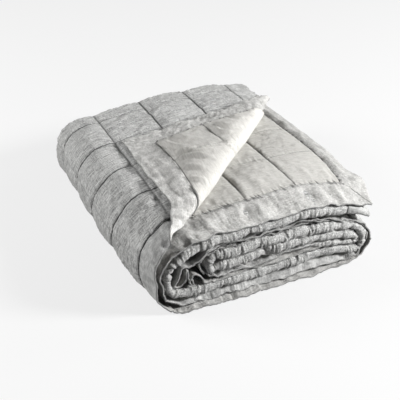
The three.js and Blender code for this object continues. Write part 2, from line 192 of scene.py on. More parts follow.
def waves(u, v, shortest, longest, count, seed, spread=math.pi):
    """Smooth seeded unevenness over the cloth, about -1 to 1."""
    rng = np.random.default_rng(seed)
    out = np.zeros(np.broadcast(u, v).shape)
    for _ in range(count):
        length = math.exp(rng.uniform(math.log(shortest), math.log(longest)))
        a = rng.uniform(-spread, spread)
        k = 2 * math.pi / length
        out += np.sin(k * (u * math.cos(a) + v * math.sin(a)) + rng.uniform(0, TURN))
    return out / math.sqrt(count) / 1.2


def along(u, shortest, longest, count, seed):
    return waves(u, 0.0, shortest, longest, count, seed, 0.0)


def ridged(s, t, shortest, longest, count, seed):
    return 1 - 2.2 * np.abs(waves(s, t, shortest, longest, count, seed))


def seam_ticks(t):
    """Short tucks along the seam of the inner border."""
    return np.maximum(1 - 1.9 * np.abs(along(t, 9, 24, 10, 58)), 0)


def spaced(rows):
    """Put t, in steps of 25 mm, before the other values of each row."""
    return [(25 * k, *row) for k, row in enumerate(rows)]


# front lines of the pack: t, x, z and how much higher the cloth lies just behind the line, 0 where not given
FRONT_OUTER = [
    (350, 54, 161), (375, 37, 143), (400, 22, 128), (425, 13, 108), (450, 12.5, 84), (475, 13, 59), (500, 16, 37),
    (525, 26, 17), (550, 43, 6, 2), (575, 65, 3, 4), (600, 90, 2.5, 6), (650, 142, 2, 6), (700, 195, 3, 6),
    (750, 249, 2.5, 6), (800, 299, 3, 6), (850, 348, 2.5, 6), (900, 397, 5, 4), (925, 419, 11), (950, 433, 28),
    (975, 440, 46), (1000, 434, 67), (1025, 420, 86), (1050, 404, 95, -5), (1075, 385, 101, -5),
    (1100, 362, 109.5, -5), (1125, 336, 119, -5), (1150, 308, 125, -5), (1175, 281, 125.5, -5),
    (1200, 253, 119, -5), (1225, 228, 126, -5), (1250, 200, 119, -5), (1275, 165, 120, -5), (1300, 127, 119.5),
    (1312, 112, 120), (1322, 100, 113.5), (1331, 91, 102), (1338, 82, 94), (1344, 74, 91.5), (1350, 66, 95),
    (1355, 60, 96.5), (1360, 56.5, 92), (1367, 54.5, 82), (1374, 52, 72), (1379, 48, 64), (1384, 43, 59.5),
    (1391, 50, 55), (1397, 58, 55.5), (1402, 63, 59), (1407, 66.5, 66), (1413, 68, 76), (1419, 69, 86),
    (1422, 70.5, 88), (1426, 72, 82), (1435, 72.5, 64), (1441, 76, 53), (1446, 83, 50.5), (1451, 82.5, 58),
    (1456, 77, 65), (1461, 78, 72), (1466, 84, 76), (1471, 91, 73), (1476, 96, 67), (1482, 99, 58),
    (1489, 105, 49.5), (1500, 121, 46, 2), (1517, 146, 48, 4), (1537, 178, 50, 5), (1557, 212, 50, 10),
    (1575, 238, 50, 15), (1600, 265, 50, 15), (1625, 293, 54, 12), (1650, 320, 58, 6), (1675, 345, 56, 4),
    (1700, 370, 54, 2), (1725, 395, 47), (1750, 414, 49), (1775, 410, 66), (1800, 390, 79), (1825, 362, 88),
    (1850, 334, 91.5), (1875, 306, 92), (1900, 278, 96), (1925, 250, 94), (1950, 225, 95), (2000, 180, 92)]
FRONT_INNER = spaced([
    (433, 126), (412, 129), (393, 137), (372, 141), (350, 145.5), (326, 150), (304, 154), (280, 151.5),
    (255, 149.5), (231, 145.5), (207, 146.5), (183, 148), (159, 147), (135, 146), (112, 146.5), (87, 146),
    (67, 136.5), (46, 124.5), (29, 114), (24, 95), (23, 72), (24, 50), (32, 32), (50, 18), (74, 12, 6),
    (100, 11, 10), (123, 12, 10), (147, 13, 10), (170, 11, 11), (194, 11, 11), (219, 10, 12), (244, 11, 13),
    (269, 11, 14), (294, 13, 14), (319, 13, 15), (344, 15, 14), (369, 12, 14), (392, 12, 10), (414, 22), (428, 40),
    (431, 56), (426, 74), (411, 91, -4), (393, 99, -4), (370, 104.5, -4), (345, 113, -4), (321, 118, -4),
    (296, 121, -4), (271, 121, -4), (247, 118, -4), (222, 117, -4), (198, 116, -4), (174, 115, -4),
    (151, 114.5, -4), (128, 114), (101, 106), (93, 93), (96, 78), (107, 65.5), (122, 58), (145, 55), (170, 55),
    (197, 55), (222, 58, 4), (248, 62, 4), (274, 68), (299, 68), (324, 66), (349, 62), (372, 58), (396, 54),
    (407, 63), (385, 78), (358, 86), (330, 89.5), (302, 91), (277, 94), (253, 93), (229, 93)]) + [(2000, 179, 90)]
# gathered front fold: t, x, z, half height and how far back it lies, 0 where not given
FRONT_FOLD_LINE = spaced([
    (430, 104, 6), (405, 119.5, 11), (381, 127.5, 11.5), (358, 132, 11), (333, 138, 10.5), (308, 142, 11),
    (283, 141, 10), (259, 139.5, 9.5), (235, 138, 8.5), (211, 137.5, 8.5), (188, 139, 9), (165, 137, 10),
    (141, 136, 11), (117, 136, 10), (94, 129, 11), (72, 124, 10), (56, 114, 7.5), (42, 104, 5.5), (36, 92, 5),
    (34.5, 75, 5), (34.5, 60, 5.5), (42, 45, 7), (54, 38, 9.5), (72, 36, 10.5), (93, 36, 11), (116, 37, 10.5),
    (139, 37.5, 10.5), (162, 37.5, 10.5), (185, 37, 10.5), (209, 37.5, 10.5), (234, 36.5, 11.5), (259, 40, 9),
    (284, 40.5, 9.5), (308, 44, 12.5), (333, 42, 9.5), (358, 43, 9), (381, 37.5, 10.5), (400, 32, 9), (416, 33, 7),
    (421.5, 47, 5.5), (420.5, 62, 6), (411, 78, 7), (396, 88, 8), (380, 93, 8.5), (354, 97, 10), (329, 100, 10.5),
    (305, 99, 9.5), (281, 104, 9.5), (257, 100, 9), (232, 104, 9), (208, 103, 10.5), (185, 101.5, 11),
    (162, 99, 11.5), (139, 102, 10.5), (123, 102, 8), (113, 95, 6), (110.5, 83, 5), (116, 73, 6), (129, 76.5, 11),
    (146, 76, 11), (166, 76.5, 11), (189, 78, 11.5), (213, 80, 9, 2), (238, 64, 6, 14), (263, 62, 6, 16),
    (288, 63, 6, 12), (313, 64, 6, 6), (338, 62, 8, 2), (362, 59, 7, 2), (388, 52, 6, 2), (407, 52, 6),
    (404, 64, 6), (380, 72.5, 8.5), (354, 78, 9), (325, 80, 9), (297, 83, 8), (268, 83, 11),
    (240, 82, 11.5)]) + [(1945, 227, 83, 9, 2), (1965, 212, 84, 4, 26), (2000, 185, 84, 4, 34)]
FRONT_T = np.arange(0.0, 2001.0, 2.0)


def line_columns(rows):
    width = max(map(len, rows))
    rows = np.array([(*row, 0)[:width] for row in rows], float)
    return [smooth_run(np.interp(FRONT_T, rows[:, 0], rows[:, k]), 3) for k in range(1, rows.shape[1])]


BAND_X, BAND_Z, BAND_HALF, BAND_BACK = line_columns(FRONT_FOLD_LINE)
# sharp tucks: t, depth
PLEATS = [
    (18, 2), (50, 4.5), (97, 2.2), (150, 4.5), (188, 1.6), (250, 4.5), (309, 4), (350, 4.5), (371, 2.2), (450, 3.5),
    (520, 2.2), (550, 5), (566, 3.2), (600, 2), (650, 4.5), (683, 4.5), (713, 3.2), (740, 3.5), (750, 4.5),
    (770, 3.6), (826, 4), (841, 4), (850, 3.5), (881, 4.2), (899, 3.6), (950, 4.5), (1031, 2), (1050, 4.5),
    (1088, 3.4), (1150, 4.5), (1187, 4.2), (1204, 2.4), (1250, 4.5), (1290, 2), (1350, 4), (1440, 4.5), (1468, 3.2),
    (1491, 2.6), (1506, 3.4), (1533, 3.4), (1550, 4.5), (1650, 4.5), (1690, 2.4), (1750, 4), (1805, 2), (1850, 4.5),
    (1884, 3), (1910, 2.6), (1936, 2.2)]


def pleats(t):
    """Sharp tucks across the gathered folds, steep on one side."""
    out = np.zeros(len(t))
    for at, depth in PLEATS:
        d = t - at
        out -= depth * np.where(d < 0, np.exp(-np.maximum(-d, 0) / 1.6), np.exp(-np.maximum(d, 0) / 6.0))
    return out


FLAP_HEIGHT = 14.5        # of the turned corner over the cloth below, past its roll


def plain(s, t):
    """The fold in four and the roll, before the corner is turned."""
    y, layer = fold_in_four(s)
    return lay_on_roll(s, t, y, layer, None, 0.0)


def lay_on_roll(s, t, y, layer, front_fold, reach):
    """The roll, with the outer corner turned back where it lies within reach."""
    run, height = t.copy(), np.zeros(len(t))
    c = (s < CORNER_WIDTH) & (t < reach)
    if c.any():
        d, nt, ny, r = corner_distance(t[c], y[c])
        a = np.clip(d / r, 0, math.pi)
        rest = np.maximum(d - math.pi * r, 0)
        off = np.where(d > 0, r * np.sin(a) - rest, d)
        h = np.where(d > 0, r * (1 - np.cos(a)), 0.0)
        h = np.where(rest > 0, FLAP_HEIGHT + (2 * r - FLAP_HEIGHT) * bump(rest, 0, 90.0), h)
        h = h - 2.5 * smooth(rest / 30) * smooth(1 - np.minimum(s[c], t[c]) / 46)
        run[c] = t[c] + nt * (off - d)
        y = y.copy()
        y[c] = y[c] + ny * (off - d)
        height[c] = h
    # the layers slip along the roll, and lie askew near its free end
    w = smooth((s - DEPTH) / (2 * DEPTH))
    fade = 1 - smooth((run - 300) / 600)
    go = run - 30.0 * w + (28.0 * (1 - w) - 8.0 * w) * (0.35 - y / DEPTH) * fade
    at = lambda table: np.interp(go, RUN, table)
    ax, az = at(ROLL_AX), at(ROLL_AZ)
    ahead = np.minimum(go - RUN[0], 0)
    pitch = at(ROLL_G)
    n = layer * pitch - height
    if front_fold is not None:
        share, offset = front_fold
        n = n + share * (2.5 * pitch - offset - n)
    x = at(ROLL_X) + ahead * ROLL_AX[0] - az * n
    z = at(ROLL_Z) + ahead * ROLL_AZ[0] + ax * n
    # the inner layers droop at the right corner
    z = z - 26.0 * smooth(1 - y / 170) * smooth(1 - (go + 30) / 170) * smooth((s - 480) / 60)
    # the pack leans and sinks towards the back, and its front edge sinks
    front = np.exp(-(np.maximum(y, 0) / 28.0) ** 2)
    k = (y - DEPTH / 2) / (DEPTH / 2)
    x = x + 10.0 * front * smooth(1 - x / 220) - 13.8 * k
    z = REST + (z - REST) * (1 - 0.1 * k - 0.02 * k * k) * (1 - 0.115 * front)
    return np.stack([x, y, z], -1)


def shift_of(rows, s, start):
    """How far a front line lies from the plain fold."""
    columns = line_columns(rows)
    base = plain(np.full(len(FRONT_T), s), FRONT_T)
    on = smooth((FRONT_T - start) / 25.0)
    return [(columns[0] - base[:, 0]) * on, (columns[1] - base[:, 2]) * on, columns[2] * on]


OUTER_SHIFT = shift_of(FRONT_OUTER, 0.5, 335.0)
INNER_SHIFT = shift_of(FRONT_INNER, FLAT - 0.5, -60.0)
FOLD_BASE = plain(np.full(len(FRONT_T), FRONT_FOLD), FRONT_T)
FOLD_SHIFT = [BAND_X - FOLD_BASE[:, 0], BAND_Z - FOLD_BASE[:, 2]]


def place(s, t):
    """Middle of the cloth at (s, t) in the folded pack, mm."""
    # hems that flare out or are drawn in
    flare = smooth(1 - s / 52) * (9.0 * bump(t, 115, 85) - 5.0 * bump(t, 287, 36)
                                    - np.interp(t, [330, 350, 375, 400, 430, 470], [0, 6, 14, 13, 9, 0]))
    s = s - flare
    t = t + smooth(1 - t / 50) * (11.0 * smooth((s - 1530) / 60) * smooth((1930 - s) / 36)
                                  - 7.0 * bump(s, 1956, 32))
    y, layer = fold_in_four(s)
    look = lambda table: np.interp(t, FRONT_T, table)
    # the front fold is a soft gathered loop, held down by the border over it on the top pass
    under = smooth((440 - t) / 40)
    u = s - FRONT_FOLD
    radius = np.maximum(look(BAND_HALF) - 1.8 - 1.2 * under, 2.5)
    far = np.abs(u)
    share = 1 - smooth((far - 70) / 80)
    turn = np.clip(u / radius, -math.pi / 2, math.pi / 2)
    gap = radius + (INNER_PITCH / 2 - radius) * smooth((far - 30) / 100)
    across = np.abs(np.sin(turn)) ** 0.75 * np.sign(u)
    offset = np.where(far < math.pi * radius / 2, radius * across, gap * np.sign(u))
    line = np.abs(np.sin(math.pi * (t - BORDER) / SQUARE))
    pinch = 3.0 * (1 - line ** 0.5) * np.exp(-(far / 40.0) ** 2)
    loop = (-1.5 + look(BAND_BACK) + pinch + radius * (1 - np.cos(turn) ** 0.75)
            + np.maximum(far - math.pi * radius / 2, 0))
    y = np.where(share > 0, y + share * (loop - y), y)
    p = lay_on_roll(s, t, y, layer, (share, offset), CORNER_RUN)
    y = p[:, 1]
    # set every front line where it lies
    deep = 1 - smooth((y - 12) / 95)
    thin = 1 - smooth((y - 4) / 100)
    rise = smooth((y - 1) / np.where((t > 1500) | (t < 560), 20, 9))
    outer, inner = s < 250, s > 1750
    middle = (s > 750) & (s < 1260)
    x = np.where(middle, look(FOLD_SHIFT[0]) * deep, 0.0)
    z = np.where(middle, (look(FOLD_SHIFT[1]) - 1.5 * under) * deep, 0.0)
    thin = np.where(outer & (t > 1300) & (t < 1510), 1 - smooth((y - 4) / 190), thin)
    for zone, table in ((outer, OUTER_SHIFT), (inner, INNER_SHIFT)):
        x = np.where(zone, look(table[0]) * thin, x)
        z = np.where(zone, (look(table[1]) + look(table[2]) * rise) * thin, z)
    # the first left fold swells in the middle of its depth
    swell = np.interp(y, [0, 50, 100, 150, 250, 350, 450], [0, 2, 9, 14, 13.5, 7, 0])
    swell = swell * np.interp(t, [412, 440, 460, 480, 500, 520, 540, 560, 590],
                              [0, 0.72, 1, 0.9, 0.12, -0.6, -0.8, -0.5, 0])
    x = x - np.where((s < ENDS[0]) | (s > ENDS[5]), swell, np.minimum(swell, 0))
    # uneven edges and folds
    near = smooth(1 - y / 60.0)
    edge = np.where(outer | inner, near, 0.0) * smooth((t - 300) / 200 + 0.25 * inner)
    wave = np.where(outer, along(t, 22, 60, 7, 11), along(t, 20, 56, 7, 12))
    z = z + 1.5 * wave * edge * smooth((p[:, 2] - 4) / 10)
    dy = edge * np.where(outer, 2.4 * along(t, 50, 150, 6, 31), 2.6 * along(t, 40, 140, 6, 32))
    dy = dy - outer * near * np.interp(t, [530, 570, 620, 760, 860, 920], [0, 6, 9, 8, 4, 0])
    dy = dy - outer * (1 - smooth((y - 20) / 70)) * np.interp(t, [335, 365, 385, 405, 435, 475],
                                                              [0, 12, 17, 16, 10, 0])
    dy = dy + 2.5 * near * np.where(outer, np.interp(t, [990, 1040, 1290, 1320, 1500, 1540], [0, 1, 1, 0, 0, 1]),
                                    inner * smooth((t - 980) / 50))
    dy = dy - bump(s, BACK_FOLD, 30.0) * (0.7 - 1.6 * line ** 0.6)
    return p + np.stack([x, dy, z], -1)


def normals(s, t):
    e = 0.7
    ds = place(s + e, t) - place(s - e, t)
    dt = place(s, t + e) - place(s, t - e)
    n = np.cross(ds, dt)
    return n / np.linalg.norm(n, axis=1)[:, None]


def turned(s, t):
    """1 where the outer corner is turned over, 0 elsewhere."""
    out = np.zeros(len(s))
    c = (s < CORNER_WIDTH) & (t < CORNER_RUN)
    if c.any():
        d = corner_distance(t[c], fold_in_four(s[c])[0])[0]
        out[c] = smooth(d / 20.0)
    return out


def seam_gap(u):
    """Distance to the nearest quilting line and the line's number."""
    k = np.clip(np.round((u - BORDER) / SQUARE), 0, 19)
    return u - (BORDER + SQUARE * k), k


# soft creases: places on the cloth, width, height
OUTER_CREASES = [
    ([(132, 340), (110, 366), (66, 408)], 5, 3.4), ([(112, 350), (100, 362), (70, 388)], 4, 2.6),
    ([(130, 362), (102, 390), (74, 424)], 5, -1.4), ([(60, 372), (150, 352)], 7, 2),
    ([(62, 430), (100, 414), (148, 402)], 6, 3.2), ([(58, 452), (120, 428)], 5, -2.2),
    ([(70, 480), (104, 462), (142, 455)], 6, 2.8), ([(60, 505), (96, 484), (128, 478)], 6, 2.4),
    ([(150, 338), (190, 352), (250, 343)], 5, 2), ([(160, 372), (200, 384), (240, 376)], 6, 2),
    ([(160, 430), (200, 408), (230, 395)], 7, 2), ([(165, 505), (235, 470)], 7, 1.8),
    ([(260, 440), (330, 415)], 8, 1.8), ([(258, 520), (318, 500)], 7, 1.6), ([(360, 470), (430, 452)], 8, 1.6),
    ([(255, 352), (330, 341)], 6, 1.6), ([(190, 560), (238, 535)], 7, 1.6), ([(300, 590), (340, 560)], 7, 1.5),
    ([(400, 260), (440, 205)], 7, 1.5), ([(360, 300), (380, 255)], 7, 1.4), ([(420, 330), (445, 268)], 7, 1.6),
    ([(455, 140), (470, 80)], 6, 1.6), ([(370, 170), (400, 120)], 7, 1.3), ([(330, 380), (345, 355)], 6, 1.3)]
FLAP_CREASES = [
    ([(60, 56), (68, 98), (86, 128), (118, 140)], 4.2, 2.6),
    ([(54, 96), (66, 130), (100, 147), (140, 153)], 4.4, 2.8),
    ([(54, 132), (78, 143), (98, 157), (132, 173)], 4.4, 3),
    ([(54, 148), (80, 160), (100, 181), (114, 204)], 4.6, 2.6), ([(53, 186), (74, 200), (90, 226)], 4.6, 1.8),
    ([(53, 226), (66, 240), (76, 262)], 4.2, 1.4), ([(156, 78), (164, 116), (180, 132)], 4.2, 2.2),
    ([(172, 70), (182, 104), (204, 112)], 4.2, 2), ([(206, 58), (214, 80), (232, 90)], 4, 1.6),
    ([(96, 58), (104, 92), (124, 112)], 5, 1.6), ([(76, 58), (84, 96), (104, 118)], 5, -1.6),
    ([(146, 150), (160, 158), (178, 162)], 3.4, 1.8), ([(144, 162), (158, 170), (170, 172)], 3.2, 1.6)]
TOP_CREASES = [
    ([(1948, 70), (1905, 78)], 6, 2), ([(1948, 112), (1880, 118)], 7, 2.2), ([(1948, 205), (1890, 214)], 7, 2),
    ([(1948, 238), (1870, 246)], 7, 2), ([(1946, 300), (1895, 306)], 6, 1.6), ([(1840, 70), (1780, 95)], 8, 1.8),
    ([(1760, 130), (1700, 150)], 8, 1.6), ([(1880, 165), (1850, 240)], 8, 1.6), ([(1690, 70), (1640, 92)], 8, 1.6),
    ([(1590, 60), (1560, 100)], 7, 1.6), ([(1730, 205), (1680, 240)], 8, 1.4), ([(1935, 330), (1895, 345)], 6, 1.6)]


def creases(s, t, rows):
    """Ridges, or troughs below 0, along curves on the cloth, each with a shallow hollow on one side."""
    out = np.zeros(len(s))
    for points, width, height in rows:
        path = hermite(points, 10, 2)
        low, high = path.min(0) - 4 * width, path.max(0) + 4 * width
        c = np.flatnonzero((s > low[0]) & (s < high[0]) & (t > low[1]) & (t < high[1]))
        if not len(c):
            continue
        ahead = np.gradient(path, axis=0)
        ahead /= np.linalg.norm(ahead, axis=1)[:, None]
        ds, dt = s[c, None] - path[:, 0], t[c, None] - path[:, 1]
        k = (ds * ds + dt * dt).argmin(1)
        row = np.arange(len(c))
        over = ds[row, k] * ahead[k, 0] + dt[row, k] * ahead[k, 1]
        v = dt[row, k] * ahead[k, 0] - ds[row, k] * ahead[k, 1] + 0.06 * width * np.sin(0.7 * k + path[0, 0])
        u = k / (len(path) - 1)
        fade = smooth((u + 0.06) / 0.26) * smooth((1.06 - u) / 0.5) * np.exp(-(over / 6.0) ** 2)
        out[c] += height * fade * (np.exp(-(v / width) ** 2) - 0.45 * np.exp(-((v - 1.9 * width) / width) ** 2))
    return out


def shown_sides(s, t):
    """Where the face and the reverse of the quilted cloth can be seen."""
    flap = turned(s, t)
    face = smooth((720 - t) / 60) * (s < ENDS[0]) * (1 - flap)
    bare = np.zeros(len(s))
    c = (s > ENDS[5]) & (t < 480)
    if c.any():
        bare[c] = smooth((corner_distance(t[c] - 30, fold_in_four(s[c])[0])[0] + 24) / 22)
    return face, np.maximum(flap, bare), flap


TOP_END = 420             # t where the top pass of the roll ends
SEAM_HALF = 0.7           # half the cloth's thickness at a sewn line


def puff(d):
    """Rise of the quilted cloth at a distance from a sewn line."""
    return 0.55 * (1 - np.exp(-d / 3.2)) + 0.45 * np.sin(math.pi * np.minimum(d, 50) / SQUARE) ** 0.7


def eased(d):
    """The same beside a border, where nothing pulls the cloth down sharply."""
    return np.sin(math.pi * np.minimum(d, 50) / SQUARE) ** 0.85


def quilt(s, t, side):
    """Height of one side of the quilted cloth above its middle."""
    gs, ks = seam_gap(s)
    gt, kt = seam_gap(t)
    ss = np.abs(np.sin(math.pi * (s - BORDER) / SQUARE))
    st = np.abs(np.sin(math.pi * (t - BORDER) / SQUARE))
    face, reverse, flap = shown_sides(s, t)
    gs, gt = np.abs(gs), np.abs(gt)
    beside = (kt == 3) & (s < 240)          # next to the turned border
    # what shows, heights of the puffs and fine creases, half thickness at the front fold, depth of the sewn lines
    if side > 0:
        shown, puffed, creased, fold_half = face, 1.0, 0.6, 2.4
        deep_s = 0.5 + 0.6 * smooth((t - 350) / 80)
        deep_t = np.where((kt == 4) | beside, 0.3, 1.05)
    else:
        shown, puffed, creased, fold_half = reverse, 0.86, 0.2, 1.4
        deep_s = np.where(ks == 19, 0.35, 0.5 + 0.45 * flap)
        deep_t = 1.1 - 0.6 * flap
    swell = np.where((side < 0) & ((ks == 19) | (ks == 0)),
                     1 - 0.86 * (1 - eased(gs)), 1 - deep_s * (1 - puff(gs)))
    swell = swell * np.where((side < 0) & (kt == 0) & (flap > 0),
                             1 - 0.8 * (1 - eased(gt)), 1 - deep_t * (1 - puff(gt)))
    # nothing draws the cloth in where the corner rolls over
    roll = smooth((s + t - 290) / 26) * (s < CORNER_WIDTH) * (t < CORNER_RUN) * (side < 0)
    swell = np.maximum(swell + roll * (0.75 - swell), 0.0)
    soft = 1.0 + 0.16 * waves(s, t, 60, 150, 10, 57)
    half = SEAM_HALF + (2.0 + 5.6 * shown * puffed) * swell * soft
    # gathers that run off the quilting lines
    rs = along(t + 37 * ks, 6, 16, 12, 51) * bump(gs, 5, 9.0)
    rt = along(s + 53 * kt, 6, 16, 12, 52) * bump(gt, 5, 9.0) * np.where(beside, 0.4, 1.0)
    tame = shown * (ss * st) ** 0.2 * (1 - 0.8 * roll)
    half = half + tame * 0.85 * (rs + rt)
    # short tucks at the seam of the inner border
    half = half - shown * (ks == 19) * 2.2 * seam_ticks(t) * np.exp(-gs / 7.0) * smooth(gs / 2.0)
    # soft creases of washed linen
    half = half + tame * (0.6 * ridged(s, t, 22, 60, 12, 53) + creased * ridged(s, t, 8, 18, 16, 54))
    # drawn up beside the turned border
    drawn = along(s + 0.5 * t, 6, 14, 12, 59) * bump(t, 340, 11) * smooth((260 - s) / 60) * smooth((s - 50) / 10)
    if side > 0:
        half = half + face * 0.5 * drawn
    # gathered folds at the front and the back
    u = s - FRONT_FOLD
    front, back = bump(u, 0, 44.0), bump(s, BACK_FOLD, 44.0)
    half = half - 0.35 * back * (half - SEAM_HALF)
    inner = bump(s, INNER_FOLD, 40.0)
    half = half * (1 - front) + front * fold_half
    half = half * (1 - inner) + inner * 1.6
    loose = 0.1 + 1.15 * smooth(0.5 + 0.9 * along(t, 45, 170, 8, 65))
    gather = (0.75 * loose * waves(t, u, 5.0, 9.0, 22, 61, 0.5) + 0.9 * loose * waves(t, u, 11, 24, 14, 62, 0.7)
              + waves(t, u, 26, 70, 8, 63, 0.6))
    top = t < TOP_END
    gather = gather * np.where(top, 0.75, 1.0) + np.where(top, 0.9, 1.6) * pleats(t + 0.18 * u)
    ripple = 0.8 * waves(t, s, 9, 22, 16, 64, 0.3) - 2.4 * (1 - st ** 0.4)
    if side > 0:
        half = half + front * gather + back * ripple
    return np.maximum(half, 0.35)


def quilt_lift(s, t):
    """Creases that both sides of the quilted cloth follow."""
    face, reverse, flap = shown_sides(s, t)
    out = 1.5 * creases(s, t, OUTER_CREASES) * face * (1 - 0.9 * bump(t, 349, 12) * (s < 240))
    out -= 2.6 * creases(s, t, FLAP_CREASES) * flap
    return out - creases(s, t, TOP_CREASES) * reverse * (s > ENDS[5])


def edge_gap(s, t):
    return np.minimum(np.minimum(s, FLAT - s), np.minimum(t, FLAT - t))


def border_lift(s, t):
    """Waves and puckers of the unquilted borders."""
    e = edge_gap(s, t)
    go = np.where(np.minimum(s, FLAT - s) < np.minimum(t, FLAT - t), t, s)
    side = np.where(s < 1000, 0, 300) + np.where(t < 1000, 0, 700)
    off = BORDER - e
    outside = np.where(t < 700, 1.0, 0.35)
    end, top = t < BORDER, (s > 1900) & (t < TOP_END)
    right = end * smooth((s - 1530) / 60)       # end border on the inner layer
    pucker = along(go + side, 6, 15, 12, 71) * bump(off, 0, 16.0) * smooth(off / 3.0)
    roll = waves(go + side, e, 26, 85, 12, 72, 0.35) * smooth(off / 40.0)
    small = waves(go + side, e, 9, 24, 16, 73, 0.5) * smooth(off / 12.0)
    still = 1 - 0.65 * right * smooth((1950 - s) / 40)
    out = outside * still * (0.75 * pucker + np.where(top, 0.5, 1.5) * roll + 0.4 * small)
    flap = turned(s, t)
    rough = ridged(s, t, 13, 38, 14, 76) + 0.25 * ridged(s, t, 7, 13, 16, 78)
    calm = 1 - 0.75 * smooth((t - 250) / 60)
    share = 0.3 + 0.45 * (s > 1900) + 0.4 * end * (s < 520) + flap * np.where(end, 0.6, 0.2) * calm
    out -= rough * smooth(off / 6.0) * np.where(t < 560, share, 0.0) * still
    turned_side = flap * (s < BORDER)
    for at, t0, t1, width, height in TURNED_WRINKLES:
        path = at + 3.0 * np.sin(t / 31.0 + at)
        out -= 1.2 * turned_side * calm * height * bump(s, path, width) * smooth((t - t0) / 30) * smooth((t1 - t) / 40)
    # seam allowance that shows through
    out -= 1.4 * turned_side * smooth((13 - off) / 4) * smooth((t - 62) / 12)
    # ruffled hems of the lower layers
    hem = np.where((t > 540) & (np.minimum(s, FLAT - s) < BORDER), smooth((30 - e) / 14), 0.0)
    out += hem * (1.2 * along(t + side, 5, 9, 14, 79) + 1.1 * along(t + side, 12, 26, 10, 80))
    # the end border stands up beside its seam
    stand = 5.5 * bump(off, 15, 8) * (1 + 0.4 * along(s, 40, 120, 6, 77)) - 3.0 * bump(off, 0, 4.0)
    out -= right * smooth((1990 - s) / 70) * stand
    out -= 6.5 * end * bump(s, 1942, 28) * smooth((40 - t) / 30)
    # deep puckers of the inner border at the front
    out += 1.6 * top * seam_ticks(t) * np.exp(-off / 10.0) * smooth(off / 2.0)
    top = top * smooth(off / 24.0) * (1 - 0.35 * smooth((off - 30) / 20))
    for at, width, height in TOP_PUCKERS:
        held = 1 - 0.8 * smooth((off - 22) / 20) * (height < 0)
        out -= 1.35 * top * held * height * bump(t + 0.18 * (off - 25), at, 0.9 * width)
    return out


# turned border: distance from its edge, start, end, width, height
TURNED_WRINKLES = [
    (14, 60, 210, 4, 2.2), (33, 80, 300, 5, 2.6), (23, 150, 330, 4, -2.2), (40, 200, 380, 4, 1.8),
    (12, 250, 420, 5, 1.6)]
# inner border at the front: place, width, height
TOP_PUCKERS = [
    (22, 7, 1.4), (50, 12, -2.2), (70, 7, 1.6), (88, 9, -3), (112, 11, 5.2), (136, 11, -5.5), (172, 5, 0.9),
    (205, 9, -2.2), (236, 14, 5.2), (263, 9, -4.2), (296, 10, -0.9), (340, 15, 4.8), (367, 9, -2.8), (388, 7, 1)]


class Sheet:
    """Closed mesh of a piece of the cloth, from cells that are finer where it shows."""

    def __init__(self, s0, t0, ns, nt, unit_s, unit_t, level):
        self.s0, self.t0, self.us, self.ut = s0, t0, unit_s / level, unit_t / level
        i, j = np.meshgrid(np.arange(ns) * level, np.arange(nt) * level, indexing="ij")
        base = np.stack([i.ravel(), i.ravel() + level, j.ravel(), j.ravel() + level], 1)
        self.base, self.shape = base, (ns * level + 1, nt * level + 1)

    @staticmethod
    def halves(cells, low, high):
        first, second = cells.copy(), cells.copy()
        first[:, high] = second[:, low] = (cells[:, low] + cells[:, high]) // 2
        return [first, second]

    def cells(self, want):
        """Cells cut until none is larger than wanted there."""
        cells, done = self.base.copy(), []
        while len(cells):
            s0, s1 = self.s0 + cells[:, 0] * self.us, self.s0 + cells[:, 1] * self.us
            t0, t1 = self.t0 + cells[:, 2] * self.ut, self.t0 + cells[:, 3] * self.ut
            ws, wt = want(s0, s1, t0, t1)
            cut_s = (s1 - s0 > ws * 1.01) & (cells[:, 1] - cells[:, 0] > 1)
            cut_t = (t1 - t0 > wt * 1.01) & (cells[:, 3] - cells[:, 2] > 1)
            done.append(cells[~cut_s & ~cut_t])
            cells = np.concatenate(self.halves(cells[cut_s], 0, 1) + self.halves(cells[~cut_s & cut_t], 2, 3))
        return np.concatenate(done)

    def faces(self, cells):
        """Triangles and quads over the cells, with no gaps where sizes change."""
        grid = np.zeros(self.shape, bool)
        for a in (0, 1):
            for b in (2, 3):
                grid[cells[:, a], cells[:, b]] = True
        spots, polys = {}, []

        def vertex(i, j):
            return spots.setdefault((i, j), len(spots))

        for i0, i1, j0, j1 in cells.tolist():
            loop = [(i0 + k, j0) for k in np.flatnonzero(grid[i0:i1, j0])]
            loop += [(i1, j0 + k) for k in np.flatnonzero(grid[i1, j0:j1])]
            loop += [(i1 - k, j1) for k in np.flatnonzero(grid[i0 + 1:i1 + 1, j1][::-1])]
            loop += [(i0, j1 - k) for k in np.flatnonzero(grid[i0, j0 + 1:j1 + 1][::-1])]
            ids = [vertex(int(a), int(b)) for a, b in loop]
            if len(ids) == 4:
                polys.append(ids)
            else:
                c = vertex((i0 + i1) / 2, (j0 + j1) / 2)
                polys += [[a, b, c] for a, b in zip(ids, ids[1:] + ids[:1])]
        return np.array(list(spots), float), polys


def mesh_object(name, points, polys, uvs, marks, materials):
    mesh = bpy.data.meshes.new(name)
    mesh.from_pydata((points * MM).tolist(), [], polys)
    mesh.update()
    layer = mesh.uv_layers.new(name=UV_NAME)
    index = np.empty(len(mesh.loops), np.int32)
    mesh.loops.foreach_get("vertex_index", index)
    layer.data.foreach_set("uv", uvs[index].astype(np.float32).ravel())
    mesh.polygons.foreach_set("material_index", np.asarray(marks, np.int32))
    mesh.polygons.foreach_set("use_smooth", np.ones(len(polys), bool))
    for m in materials:
        mesh.materials.append(m)
    obj = bpy.data.objects.new(name, mesh)
    bpy.context.scene.collection.objects.link(obj)
    return obj


# the flat cloth in its UV map, mm: size of the map, margins, and where the reverse lies
UV_S, UV_T = 4400.0, 2200.0
EDGE_S, EDGE_T = 22.0, 11.0
BACK_S = 2200.0


def to_frame(p):
    return p - np.array([CENTRE[0], CENTRE[1], 0.0])


